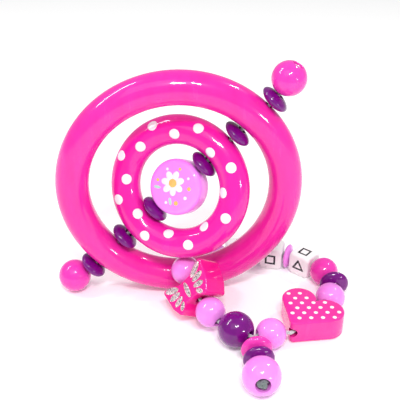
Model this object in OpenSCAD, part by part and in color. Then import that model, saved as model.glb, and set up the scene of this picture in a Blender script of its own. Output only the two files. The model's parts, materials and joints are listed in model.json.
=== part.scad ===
// Wooden grasping ring: a ring in a ring on a slanted cord, with a loop of threaded beads.
// It stands on its outer ring and lower end bead, and the bead loop lies on the table.

/* [Rings] */
// Outside diameter of the outer ring
outer_ring_od = 98.5; // [94:0.5:110]
// Thickness of the outer ring's round bar
outer_bar_d = 13.4; // [12:0.1:15]
// Thickness of the inner ring's round bar
inner_bar_d = 12; // [10:0.1:13]
// Turn of the inner ring about the slanted cord
inner_ring_turn = -28; // [-60:1:0]

/* [Slanted cord] */
// Slope of the cord that carries the rings
axis_slope = 45.5; // [44:0.5:47]
// Diameter of every cord
cord_d = 1.5; // [1.2:0.1:1.8]
// Drilled hole in the rings and in the threaded pieces
bore_d = 3.4; // [3.2:0.1:4]
// Diameter of a purple lens
lens_d = 12; // [10:0.1:13]
// Thickness of a purple lens
lens_t = 5.2; // [4.5:0.1:6]
// Play on each side of a lens between the two rings
ring_play = 0.8; // [0.3:0.1:1]
// Play on each side of a lens beside the disc
disc_play = 0.3; // [0.2:0.1:0.6]
// Play beside the outer lenses
end_play = 0.4; // [0.3:0.1:0.6]
// Thickness of the picture disc
disc_t = 10; // [7:0.5:11]
// Edge rounding of the picture disc
disc_edge = 2.2; // [1:0.1:3]
// Turn of the picture disc about the slanted cord
disc_turn = -38; // [-60:1:0]
// Diameter of the two end beads
end_bead_d = 13.5; // [12:0.1:14]
// Lean of the upper end bead away from the cord's slope
upper_lean = 14; // [0:1:16]
// Wide mouth that hides a knot in an end bead
knot_seat_d = 4.4; // [4:0.1:5]
// Depth of that mouth
knot_seat_depth = 4; // [3:0.1:5]
// Diameter of a knot at the end of the slanted cord
knot_d = 3.6; // [3:0.1:3.8]

/* [Bead loop] */
// Diameter of the light pink and hot pink beads
bead_d = 12; // [11:0.1:12.5]
// Diameter of the purple bead
purple_bead_d = 14.2; // [13:0.1:15]
// Drilled hole in the pieces of the loop
loop_bore_d = 4; // [3.8:0.1:4.4]
// Space between neighbours on the loop
thread_gap = 0.4; // [0.3:0.1:0.6]
// Clear space between the ring bead and the outer ring
seat_gap = 0.3; // [0.2:0.1:0.5]
// Edge of a cube
cube_edge = 10; // [9:0.1:10.5]
// Diameter of the ball that rounds a cube's corners
cube_ball_d = 15; // [14.6:0.1:16]
// Diameter of a lens between cubes
spacer_d = 10.6; // [9:0.1:11]
// Thickness of a lens between cubes
spacer_t = 3.4; // [3:0.1:4]

/* [Butterfly] */
// Thickness of the butterfly
butterfly_t = 11; // [9:0.1:11.5]
// Length of its body along the cord
butterfly_body = 8.8; // [8.4:0.1:10]
// Half of its wing span
wing_reach = 12.2; // [10:0.1:12.6]
// How far the fore wings stand ahead of the middle
fore_wing = 8; // [7.6:0.1:9]
// How far the hind wings stand behind the middle
hind_wing = 7.2; // [6.4:0.1:7.6]
// Rounding of its corners
wing_round = 1.3; // [0.5:0.1:1.4]
// Turn of the butterfly on the cord
butterfly_turn = 146; // [144:1:158]

/* [Heart] */
// Width across both lobes
heart_w = 26.6; // [24:0.1:27]
// Length from the tip to the top of the lobes
heart_l = 22.4; // [22:0.1:26]
// Thickness of the heart
heart_t = 9.6; // [9:0.1:12]
// Radius of a lobe
lobe_r = 6.9; // [6.7:0.1:7.4]
// Radius of the tip
tip_r = 1.6; // [1:0.1:2]
// Bare cord between the tip bead and the heart
heart_lead = 2.1; // [2:0.1:2.6]

/* [Tail] */
// Diameter of the tail bead
tail_bead_d = 14.5; // [13:0.1:16]
// Hole in the tail pieces, for two cords side by side
tail_bore_d = 4; // [3.8:0.1:4.4]
// Wide mouth of the tail bead
tail_mouth_d = 5.6; // [5:0.1:6]
// Depth of that mouth
tail_mouth_depth = 5; // [4:0.1:6]
// Diameter of the knot in the tail bead
tail_knot_d = 4.8; // [4:0.1:4.9]
// Diameter of the knot that joins the loop and the tail
junction_knot_d = 2.8; // [2.4:0.1:3]

/* [Hidden] */
$fn = 64;
cord_sides = 8;
profile_step = 6;
arc_steps = 6;
half_turn = 180;
quarter = 90;

function unit(v) = v / norm(v);
function aim(heading, rise = 0) = [cos(rise) * cos(heading), cos(rise) * sin(heading), sin(rise)];
function flat_aim(angle) = [cos(angle), sin(angle)];
function at_height(p, z) = [p.x, p.y, z];
function middle(a, b) = (a + b) / 2;
function lens_half(d, t, tilt) = norm([t / 2 * cos(tilt), d / 2 * sin(tilt)]);
function cube_step(tilt) = (bead_d / 2 + cube_edge / 2 + thread_gap) / cos(tilt);
function spacer_step(cube_heading, link, spacer_heading) =
    (cube_edge / 2 + thread_gap + lens_half(spacer_d, spacer_t, cube_heading - spacer_heading))
    / cos(cube_heading - link);

// Rings and the pieces on the slanted cord, from the outer ring inwards
outer_r = (outer_ring_od - outer_bar_d) / 2;
ring_z = outer_ring_od / 2;
inner_ring_od = outer_ring_od - 2 * (outer_bar_d + lens_t + 2 * ring_play);
inner_r = (inner_ring_od - inner_bar_d) / 2;
disc_d = inner_ring_od - 2 * (inner_bar_d + lens_t + 2 * disc_play);
inner_lens_at = disc_d / 2 + disc_play + lens_t / 2;
middle_lens_at = inner_ring_od / 2 + ring_play + lens_t / 2;
outer_lens_at = outer_ring_od / 2 + end_play + lens_t / 2;
ring_centre = [0, 0, ring_z];
slope_aim = aim(0, axis_slope);
upper_lens_c = ring_centre + outer_lens_at * slope_aim;
lower_lens_c = ring_centre - outer_lens_at * slope_aim;

// End beads: the upper one leans up, the lower one is pushed up by the table
end_reach = lens_t / 2 + end_play + end_bead_d / 2;
upper_bead_slope = axis_slope + upper_lean;
lower_bead_slope = asin((lower_lens_c.z - end_bead_d / 2) / end_reach);
upper_bead_aim = aim(0, upper_bead_slope);
lower_bead_aim = -aim(0, lower_bead_slope);
upper_bead_c = upper_lens_c + end_reach * upper_bead_aim;
lower_bead_c = lower_lens_c + end_reach * lower_bead_aim;
knot_at = end_bead_d / 2 - knot_seat_depth + knot_d / 2;
upper_knot_c = upper_bead_c + knot_at * upper_bead_aim;
lower_knot_c = lower_bead_c + knot_at * lower_bead_aim;

// Headings in plan and rises of the threaded pieces, in the order they are threaded
ring_bead_x = 2.2;
ring_bead_lift = 41;
ring_bead_heading = -65;
ring_bead_rise = -15;
butterfly_heading = -69;
butterfly_rise = -20.5;
butterfly_lead = 0.6;
butterfly_bead_heading = -53;
purple_entry_drop = 0.45;
purple_heading = -38;
tip_bead_heading = 10;
tip_bead_spread = -6;
heart_heading = 50.3;
notch_bead_aside = 1;
bead_to_lens = 71;
lens_to_hot_bead = 107;
hot_bead_to_cube = 128;
cube_1_to_spacer = 149;
spacer_to_cube_2 = 160;
cube_2_to_spacer = 168;
spacer_to_cube_3 = 182;
cube_to_back_bead = 202;
back_bead_to_ring = 218;
tail_pink_heading = -86;
tail_purple_heading = -87;
tail_bead_heading = -91;

// Loop, from the ring's front to the junction
bead_seg = bead_d + thread_gap;
cube_exit = (cube_edge + thread_gap) / 2;
purple_seg = purple_bead_d + 2 * thread_gap;
bar_z = outer_bar_d / 2;
ring_bead_seat = outer_bar_d / 2 + seat_gap + bead_d / 2;
ring_bead_aim = aim(ring_bead_heading, ring_bead_rise);
ring_bead_c = [ring_bead_x, -ring_bead_seat * cos(ring_bead_lift),
    bar_z + ring_bead_seat * sin(ring_bead_lift)];
front_end = ring_bead_c - bead_seg / 2 * ring_bead_aim;
head_point = ring_bead_c + bead_seg / 2 * ring_bead_aim;
butterfly_aim = aim(butterfly_heading, butterfly_rise);
butterfly_seg = butterfly_body + 2 * butterfly_lead;
butterfly_c = head_point + butterfly_seg / 2 * butterfly_aim;
tail_point = head_point + butterfly_seg * butterfly_aim;
purple_z = purple_bead_d / 2;
butterfly_bead_rise = asin((purple_z - purple_entry_drop - tail_point.z) / bead_seg);
butterfly_bead_aim = aim(butterfly_bead_heading, butterfly_bead_rise);
butterfly_bead_c = tail_point + bead_seg / 2 * butterfly_bead_aim;
purple_in = tail_point + bead_seg * butterfly_bead_aim;
purple_c = at_height(purple_in + purple_seg / 2 * aim(purple_heading), purple_z);
purple_out = at_height(purple_in + purple_seg * aim(purple_heading), middle(purple_z, bead_d / 2));

// Loop, from the junction to the ring's back
bead_z = bead_d / 2;
tip_bead_reach = (purple_bead_d + bead_d) / 2 + thread_gap;
tip_bead_c = at_height(purple_c + tip_bead_reach * aim(tip_bead_spread), bead_z);
tip_bead_in = tip_bead_c - bead_seg / 2 * aim(tip_bead_heading);
tip_bead_out = tip_bead_c + bead_seg / 2 * aim(tip_bead_heading);
lobe_side = heart_w / 2 - lobe_r;
lobe_ahead = heart_l - lobe_r;
notch_flat = max(0, lobe_side - lobe_r);
notch_side = lobe_side - notch_flat;
heart_notch = lobe_ahead + sqrt(pow(lobe_r, 2) - pow(notch_side, 2));
heart_z = heart_t / 2;
heart_tip = at_height(tip_bead_out + heart_lead * aim(tip_bead_heading), heart_z);
notch_lead = 1.5;
heart_out = heart_tip + (heart_notch + notch_lead) * aim(heart_heading);
lobe_seat = lobe_r + seat_gap + bead_d / 2;
notch_bead_off = norm([notch_bead_aside, bead_z - heart_z]);
notch_bead_ahead = lobe_ahead + sqrt(pow(lobe_seat, 2) - pow(lobe_side - notch_bead_off, 2));
notch_bead_c = at_height(heart_tip + notch_bead_ahead * aim(heart_heading)
    + notch_bead_aside * aim(heart_heading - quarter), bead_z);
notch_bead_heading = middle(heart_heading, bead_to_lens);
notch_bead_in = notch_bead_c - bead_seg / 2 * aim(heart_heading);
notch_bead_out = notch_bead_c + bead_seg / 2 * aim(bead_to_lens);

lens_seg = lens_t + thread_gap;
lens_z = lens_d / 2;
lens_bend = (lens_to_hot_bead - bead_to_lens) / 2;
lens_step = bead_d / 2 + thread_gap + lens_half(lens_d, lens_t, lens_bend);
chain_lens_c = at_height(notch_bead_c + lens_step * aim(bead_to_lens), lens_z);
chain_lens_heading = middle(bead_to_lens, lens_to_hot_bead);
hot_bead_c = at_height(chain_lens_c + lens_step * aim(lens_to_hot_bead), bead_z);
hot_bead_heading = middle(lens_to_hot_bead, hot_bead_to_cube);
hot_bead_in = hot_bead_c - bead_seg / 2 * aim(lens_to_hot_bead);

cube_z = cube_edge / 2;
spacer_z = spacer_d / 2;
cube_1_heading = middle(hot_bead_to_cube, cube_1_to_spacer);
spacer_1_heading = middle(cube_1_to_spacer, spacer_to_cube_2);
cube_2_heading = middle(spacer_to_cube_2, cube_2_to_spacer);
spacer_2_heading = middle(cube_2_to_spacer, spacer_to_cube_3);
cube_3_heading = middle(spacer_to_cube_3, cube_to_back_bead);
back_bead_heading = middle(cube_to_back_bead, back_bead_to_ring);
hot_bead_out = at_height(hot_bead_c + bead_seg / 2 * aim(hot_bead_to_cube), middle(bead_z, cube_z));
cube_1_c = at_height(hot_bead_c + cube_step(cube_1_heading - hot_bead_to_cube)
    * aim(hot_bead_to_cube), cube_z);
cube_1_out = cube_1_c + cube_exit * aim(cube_1_to_spacer);
spacer_1_c = at_height(cube_1_c + spacer_step(cube_1_heading, cube_1_to_spacer, spacer_1_heading)
    * aim(cube_1_to_spacer), spacer_z);
cube_2_c = at_height(spacer_1_c + spacer_step(cube_2_heading, spacer_to_cube_2, spacer_1_heading)
    * aim(spacer_to_cube_2), cube_z);
cube_2_in = cube_2_c - cube_exit * aim(spacer_to_cube_2);
cube_2_out = cube_2_c + cube_exit * aim(cube_2_to_spacer);
spacer_2_c = at_height(cube_2_c + spacer_step(cube_2_heading, cube_2_to_spacer, spacer_2_heading)
    * aim(cube_2_to_spacer), spacer_z);
cube_3_c = at_height(spacer_2_c + spacer_step(cube_3_heading, spacer_to_cube_3, spacer_2_heading)
    * aim(spacer_to_cube_3), cube_z);
cube_3_in = cube_3_c - cube_exit * aim(spacer_to_cube_3);
cube_3_out = at_height(cube_3_c + cube_exit * aim(cube_to_back_bead), middle(cube_z, bead_z));
back_bead_c = at_height(cube_3_c + cube_step(cube_to_back_bead - cube_3_heading)
    * aim(cube_to_back_bead), bead_z);
back_bead_out = back_bead_c + bead_seg / 2 * aim(back_bead_to_ring);

// Tail, from the junction knot forwards
junction_ahead = 1.2;
knot_gap = 0.4;
junction_clear = junction_knot_d / 2 + junction_ahead;
junction_c = at_height(middle(purple_out, tip_bead_in) + junction_clear * aim(tail_pink_heading), lens_z);
tail_start = junction_c + junction_knot_d / 2 * aim(tail_pink_heading);
tail_pink_c = tail_start + lens_seg / 2 * aim(tail_pink_heading);
tail_between = tail_start + lens_seg * aim(tail_pink_heading);
tail_purple_c = tail_between + lens_seg / 2 * aim(tail_purple_heading);
tail_in = tail_between + lens_seg * aim(tail_purple_heading);
tail_bead_reach = (tail_bead_d + thread_gap) / 2;
tail_bead_rise = asin((tail_bead_d / 2 - lens_z) / tail_bead_reach);
tail_bead_aim = aim(tail_bead_heading, tail_bead_rise);
tail_bead_c = tail_in + tail_bead_reach * tail_bead_aim;
tail_knot_at = tail_bead_d / 2 - tail_mouth_depth + tail_knot_d / 2;
tail_knot_c = tail_bead_c + tail_knot_at * tail_bead_aim;
tail_route = [tail_start + knot_gap * aim(tail_pink_heading), tail_between, tail_in, tail_knot_c];
strand_share = 0.44;
strand_side = strand_share * cord_d * aim(tail_purple_heading + quarter);

// Cord across the ring's bar, and down behind it
back_end = [front_end.x, -front_end.y, front_end.z];
cross_z = outer_bar_d + seat_gap + cord_d / 2;
cross_half = 1.5;
cord_break = 0.65;
cross_front = [front_end.x, -cross_half, cross_z];
cross_back = [front_end.x, cross_half, cross_z];
cross_route = [head_point - cord_break * ring_bead_aim, front_end, cross_front, cross_back,
    back_end + cord_break * unit(cross_back - back_end)];
knot_edge = junction_knot_d / 2 + knot_gap;
front_last = at_height(purple_out, purple_in.z);
front_route = [head_point + cord_break * butterfly_aim, tail_point, purple_in, front_last,
    junction_c + knot_edge * unit(front_last - junction_c)];

// Slack behind the bar: an arc round the bar, from the back bead up to the cord's back end
slack_steps = 5;
function round_bar(p) = [norm([p.y, p.z - bar_z]), atan2(p.z - bar_z, p.y)];
function slack_at(s) =
    let (low = round_bar(back_bead_out), high = round_bar(back_end), arm = low + s * (high - low),
        run = middle(1 - s, pow(1 - s, 2)))
    [back_end.x + run * (back_bead_out.x - back_end.x), arm[0] * cos(arm[1]), bar_z + arm[0] * sin(arm[1])];
slack_route = [for (i = [1 : slack_steps - 1]) slack_at(i / slack_steps)];
slack_last = slack_route[len(slack_route) - 1];
back_route = [junction_c + knot_edge * unit(tip_bead_in - junction_c), tip_bead_in, tip_bead_out,
    heart_tip, heart_out, notch_bead_in, notch_bead_out, hot_bead_in, hot_bead_out, cube_1_out,
    cube_2_in, cube_2_out, cube_3_in, cube_3_out, back_bead_out, each slack_route,
    back_end + cord_break * unit(slack_last - back_end)];
axis_route = [lower_knot_c, lower_lens_c, upper_lens_c, upper_knot_c];

// Place of the object's own origin, below the middle of everything
reach_left = lower_bead_c.x - end_bead_d / 2;
lens_half_x = norm([lens_d / 2 * sin(chain_lens_heading), lens_t / 2 * cos(chain_lens_heading)]);
reach_right = max(hot_bead_c.x + bead_d / 2, chain_lens_c.x + lens_half_x, notch_bead_c.x + bead_d / 2);
mouth_spread = max(0, asin(tail_mouth_d / tail_bead_d) - acos(-tail_bead_aim.y));
reach_front = tail_bead_c.y - tail_bead_d / 2 * cos(mouth_spread);
cube_half_y = cube_edge / 2 * (abs(cos(cube_3_heading)) + abs(sin(cube_3_heading)));
reach_back = max(cube_3_c.y + cube_half_y, back_bead_c.y + bead_d / 2);
origin_at = [(reach_left + reach_right) / 2, (reach_front + reach_back) / 2, 0];

// Shared shapes
module placed() { translate(-origin_at) children(); }

module on_axis() { placed() translate(ring_centre) rotate([0, quarter - axis_slope, 0]) children(); }

module threaded(c, heading, rise = 0, turn = 0) {
    placed() translate(c) rotate([0, quarter - rise, heading]) rotate([0, 0, turn]) children();
}

module torus(r, bar_d) { rotate([quarter, 0, 0]) rotate_extrude() translate([r, 0]) circle(d = bar_d); }

module drill(length, d) { cylinder(h = length, d = d, center = true); }

function lens_profile(d, t) =
    [for (a = [-quarter : profile_step : quarter]) [d / 2 * cos(a), t / 2 * sin(a)]];

module lens(d, t, hole_d) {
    difference() {
        rotate_extrude() polygon(lens_profile(d, t));
        drill(2 * t, hole_d);
    }
}

module bead(d, hole_d) {
    difference() {
        sphere(d = d);
        drill(2 * d, hole_d);
    }
}

module mouthed_bead(d, hole_d, mouth_d, mouth_depth) {
    difference() {
        bead(d, hole_d);
        translate([0, 0, d / 2 - mouth_depth]) cylinder(h = d, d = mouth_d);
    }
}

module cube_bead() {
    difference() {
        intersection() {
            cube(cube_edge, center = true);
            sphere(d = cube_ball_d);
        }
        drill(2 * cube_edge, loop_bore_d);
    }
}

function tube_tangent(route, i) =
    i == 0 ? unit(route[1] - route[0]) :
    i == len(route) - 1 ? unit(route[i] - route[i - 1]) :
    unit(unit(route[i] - route[i - 1]) + unit(route[i + 1] - route[i]));

function tube_ring(p, t, d) =
    let (side = unit(cross([0, 0, 1], t)), up = cross(t, side))
    [for (k = [0 : cord_sides - 1]) let (a = 360 * k / cord_sides) p + d / 2 * (cos(a) * side + sin(a) * up)];

function tube_points(route, d) =
    [for (i = [0 : len(route) - 1]) each tube_ring(route[i], tube_tangent(route, i), d)];

function tube_faces(count) = concat(
    [for (k = [1 : cord_sides - 2]) [0, k, k + 1]],
    [for (i = [0 : count - 2], k = [0 : cord_sides - 1]) let (n = (k + 1) % cord_sides, b = i * cord_sides)
        each [[b + k, b + cord_sides + k, b + cord_sides + n], [b + k, b + cord_sides + n, b + n]]],
    [for (k = [1 : cord_sides - 2]) let (b = (count - 1) * cord_sides) [b, b + k + 1, b + k]]);

module cord(route) {
    placed() polyhedron(points = tube_points(route, cord_d), faces = tube_faces(len(route)), convexity = 6);
}

// Corner b of the outline a, b, c, rounded by an arc
function corner_arc(a, b, c, r) =
    let (u = unit(a - b), v = unit(c - b), half = acos(u * v) / 2,
        centre = b + r / sin(half) * unit(u + v), run = r / tan(half),
        from = (b + run * u - centre) / r, to = (b + run * v - centre) / r, sweep = half_turn - 2 * half)
    [for (i = [0 : arc_steps]) let (s = i / arc_steps)
        centre + r * (sin((1 - s) * sweep) * from + sin(s * sweep) * to) / sin(sweep)];

// Rings and the slanted cord
module outer_ring() {
    color("deeppink") on_axis() difference() {
        rotate([0, axis_slope - quarter, 0]) torus(outer_r, outer_bar_d);
        drill(2 * outer_ring_od, bore_d);
    }
}

module axis_cord() { color("whitesmoke") cord(axis_route); }

module upper_knot() { color("whitesmoke") placed() translate(upper_knot_c) sphere(d = knot_d); }

module lower_knot() { color("whitesmoke") placed() translate(lower_knot_c) sphere(d = knot_d); }

module inner_ring() {
    color("deeppink") on_axis() rotate([0, 0, inner_ring_turn]) difference() {
        torus(inner_r, inner_bar_d);
        drill(2 * inner_ring_od, bore_d);
    }
}

disc_profile = let (r = disc_d / 2, h = disc_t / 2) concat(
    [[0, -h]], corner_arc([0, -h], [r, -h], [r, h], disc_edge),
    corner_arc([r, -h], [r, h], [0, h], disc_edge), [[0, h]]);

module picture_disc() {
    color("violet") on_axis() rotate([0, 0, disc_turn]) difference() {
        rotate([quarter, 0, 0]) rotate_extrude() polygon(disc_profile);
        drill(2 * disc_d, bore_d);
    }
}

module axis_lens(at) { color("purple") on_axis() translate([0, 0, at]) lens(lens_d, lens_t, bore_d); }

module upper_outer_lens() { axis_lens(outer_lens_at); }

module upper_middle_lens() { axis_lens(middle_lens_at); }

module upper_inner_lens() { axis_lens(inner_lens_at); }

module lower_inner_lens() { axis_lens(-inner_lens_at); }

module lower_middle_lens() { axis_lens(-middle_lens_at); }

module lower_outer_lens() { axis_lens(-outer_lens_at); }

module end_bead() { mouthed_bead(end_bead_d, bore_d, knot_seat_d, knot_seat_depth); }

module upper_end_bead() { color("deeppink") threaded(upper_bead_c, 0, upper_bead_slope) end_bead(); }

module lower_end_bead() { color("deeppink") threaded(lower_bead_c, half_turn, -lower_bead_slope) end_bead(); }

// Cords of the loop
module cross_cord() { color("whitesmoke") cord(cross_route); }

module front_cord() { color("whitesmoke") cord(front_route); }

module back_cord() { color("whitesmoke") cord(back_route); }

// Threaded pieces of the loop
module pink_bead(c, heading, rise = 0) {
    color("violet") threaded(c, heading, rise) bead(bead_d, loop_bore_d);
}

module ring_bead() { pink_bead(ring_bead_c, ring_bead_heading, ring_bead_rise); }

// Outline of one side's wings, at shares of their reach, from the head to the tail
root_share = 0.25;
brow_share = 0.5;
brow_rise = 1.3;
waist_share = 0.86;
waist_drop = hind_wing / 3;
lobe_share = 0.66;
heel_share = 0.42;
heel_rise = 1.08;
body_half = butterfly_body / 2;
wing_half = [[0, -body_half], [root_share * wing_reach, -body_half],
    [brow_share * wing_reach, -body_half - brow_rise], [wing_reach, -fore_wing],
    [waist_share * wing_reach, waist_drop], [lobe_share * wing_reach, hind_wing],
    [heel_share * wing_reach, hind_wing - heel_rise], [root_share * wing_reach, body_half], [0, body_half]];
wing_outline = [for (i = [1 : len(wing_half) - 2])
    each corner_arc(wing_half[i - 1], wing_half[i], wing_half[i + 1], wing_round)];

both_wings = concat(wing_outline,
    [for (i = [len(wing_outline) - 1 : -1 : 0]) [-wing_outline[i].x, wing_outline[i].y]]);

module butterfly_bead() {
    color("deeppink") threaded(butterfly_c, butterfly_heading, butterfly_rise, butterfly_turn) difference() {
        rotate([quarter, 0, 0]) translate([0, 0, -butterfly_t / 2]) linear_extrude(butterfly_t)
            polygon(both_wings);
        drill(4 * butterfly_body, loop_bore_d);
    }
}

module butterfly_end_bead() { pink_bead(butterfly_bead_c, butterfly_bead_heading, butterfly_bead_rise); }

module purple_bead() { color("purple") threaded(purple_c, purple_heading) bead(purple_bead_d, loop_bore_d); }

module heart_tip_bead() { pink_bead(tip_bead_c, tip_bead_heading); }

lobe_c = [lobe_ahead, lobe_side];
tip_c = [tip_r, 0];
side_normal = atan2(lobe_side, lobe_ahead - tip_r) + acos((tip_r - lobe_r) / norm(lobe_c - tip_c));
notch_normal = atan2(-notch_side, heart_notch - lobe_ahead);
tip_steps = 6;
lobe_steps = 30;
tip_step = (side_normal - half_turn) / tip_steps;
lobe_step = (notch_normal - side_normal) / lobe_steps;
heart_half = concat(
    [for (i = [0 : tip_steps]) tip_c + tip_r * flat_aim(half_turn + tip_step * i)],
    [for (i = [0 : lobe_steps]) lobe_c + lobe_r * flat_aim(side_normal + lobe_step * i)]);
// Lobes that stand apart leave a flat in the notch, and lobes that meet share its point
mirrored_last = len(heart_half) - (notch_flat > 0 ? 1 : 2);
heart_outline = concat(heart_half,
    [for (i = [mirrored_last : -1 : 1]) [heart_half[i].x, -heart_half[i].y]]);

module heart_bead() {
    color("hotpink") placed() translate(at_height(heart_tip, 0)) rotate(heart_heading) difference() {
        linear_extrude(heart_t) polygon(heart_outline);
        translate([heart_l / 2, 0, heart_z]) rotate([0, quarter, 0]) drill(2 * heart_l, loop_bore_d);
    }
}

module heart_notch_bead() { pink_bead(notch_bead_c, notch_bead_heading); }

module chain_lens() {
    color("purple") threaded(chain_lens_c, chain_lens_heading) lens(lens_d, lens_t, loop_bore_d);
}

module hot_pink_bead() {
    color("deeppink") threaded(hot_bead_c, hot_bead_heading) bead(bead_d, loop_bore_d);
}

module cube_at(c, heading) { color("white") threaded(c, heading) cube_bead(); }

module spacer_at(c, heading) { color("violet") threaded(c, heading) lens(spacer_d, spacer_t, loop_bore_d); }

module cube_1() { cube_at(cube_1_c, cube_1_heading); }

module cube_spacer_1() { spacer_at(spacer_1_c, spacer_1_heading); }

module cube_2() { cube_at(cube_2_c, cube_2_heading); }

module cube_spacer_2() { spacer_at(spacer_2_c, spacer_2_heading); }

module cube_3() { cube_at(cube_3_c, cube_3_heading); }

module back_bead() { pink_bead(back_bead_c, back_bead_heading); }

// Tail
module junction_knot() { color("silver") placed() translate(junction_c) sphere(d = junction_knot_d); }

module tail_cord() {
    color("whitesmoke") for (side = [-1, 1]) cord([for (p = tail_route) p + side * strand_side]);
}

module tail_knot() { color("silver") placed() translate(tail_knot_c) sphere(d = tail_knot_d); }

module tail_lens(c, heading) { threaded(c, heading) lens(lens_d, lens_t, tail_bore_d); }

module tail_pink_lens() { color("deeppink") tail_lens(tail_pink_c, tail_pink_heading); }

module tail_purple_lens() { color("purple") tail_lens(tail_purple_c, tail_purple_heading); }

module tail_bead() {
    color("violet") threaded(tail_bead_c, tail_bead_heading, tail_bead_rise)
        mouthed_bead(tail_bead_d, tail_bore_d, tail_mouth_d, tail_mouth_depth);
}

outer_ring();
axis_cord();
upper_knot();
lower_knot();
inner_ring();
picture_disc();
upper_outer_lens();
upper_middle_lens();
upper_inner_lens();
lower_inner_lens();
lower_middle_lens();
lower_outer_lens();
upper_end_bead();
lower_end_bead();
cross_cord();
front_cord();
back_cord();
ring_bead();
butterfly_bead();
butterfly_end_bead();
purple_bead();
heart_tip_bead();
heart_bead();
heart_notch_bead();
chain_lens();
hot_pink_bead();
cube_1();
cube_spacer_1();
cube_2();
cube_spacer_2();
cube_3();
back_bead();
junction_knot();
tail_cord();
tail_knot();
tail_pink_lens();
tail_purple_lens();
tail_bead();
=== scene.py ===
import json
import math
import bpy
import bmesh
from mathutils import Matrix, Vector


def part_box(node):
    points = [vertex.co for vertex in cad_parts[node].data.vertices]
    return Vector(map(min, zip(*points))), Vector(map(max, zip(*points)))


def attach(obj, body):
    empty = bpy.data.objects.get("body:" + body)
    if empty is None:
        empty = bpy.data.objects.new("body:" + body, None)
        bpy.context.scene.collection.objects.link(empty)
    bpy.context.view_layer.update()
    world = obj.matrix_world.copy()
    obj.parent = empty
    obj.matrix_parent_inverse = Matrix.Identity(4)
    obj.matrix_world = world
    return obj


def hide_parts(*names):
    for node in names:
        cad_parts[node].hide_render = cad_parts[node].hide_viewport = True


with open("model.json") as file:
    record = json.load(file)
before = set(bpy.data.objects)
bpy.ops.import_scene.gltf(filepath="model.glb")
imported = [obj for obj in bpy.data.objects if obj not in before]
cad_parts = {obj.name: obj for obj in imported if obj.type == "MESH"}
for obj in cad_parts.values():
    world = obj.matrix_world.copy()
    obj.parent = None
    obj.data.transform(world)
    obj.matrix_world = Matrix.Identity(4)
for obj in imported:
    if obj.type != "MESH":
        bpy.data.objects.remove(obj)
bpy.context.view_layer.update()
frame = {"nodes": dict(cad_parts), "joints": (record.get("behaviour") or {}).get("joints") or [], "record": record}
jointOf = {j["name"]: j for j in frame["joints"]}
bodyOf = {n: b for b, ns in frame["record"]["behaviour"]["bodies"].items() for n in ns}
slotOf = {p["node"]: p["material_slot"] for p in frame["record"]["subparts"]}
print("frame loaded:", len(frame["nodes"]), "nodes")

mm = 0.001
fullTurn = 2 * math.pi


# places that come from the frame
def placeOf(joint):
    j = jointOf[joint]
    return Vector(j["pos_m"]), Vector(j["axis"]).normalized()


def boxCentre(node):
    low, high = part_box(node)
    return (low + high) / 2


def threadMatrix(centre, axis, turn=0.0):
    heading = math.atan2(axis.y, axis.x)
    rise = math.asin(max(-1, min(1, axis.z)))
    m = Matrix.Translation(centre) @ Matrix.Rotation(heading, 4, "Z")
    m = m @ Matrix.Rotation(math.pi / 2 - rise, 4, "Y")
    return m @ Matrix.Rotation(math.radians(turn), 4, "Z")


ringCentre, slopeAxis = placeOf("inner_ring_spin")
slope = math.atan2(slopeAxis.z, slopeAxis.x)


def slopeMatrix(turn):
    m = Matrix.Translation(ringCentre) @ Matrix.Rotation(math.pi / 2 - slope, 4, "Y")
    return m @ Matrix.Rotation(math.radians(turn), 4, "Z")


# lacquers, prints and cord
def newMaterial(name):
    mat = bpy.data.materials.new(name)
    mat.use_nodes = True
    nodes = mat.node_tree.nodes
    return mat, nodes, mat.node_tree.links, nodes["Principled BSDF"]


lacquerSettings = {"grain": 260.0, "grainDetail": 5.0, "grainLong": 0.18, "cloud": 70.0, "cloudShare": 0.4,
                   "rampFrom": 0.3, "rampTo": 0.72, "bump": 0.05, "bumpDeep": 0.0002, "coatRough": 0.03,
                   "underGloss": 0.12, "roughLow": 0.8, "roughHigh": 1.25}


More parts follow.
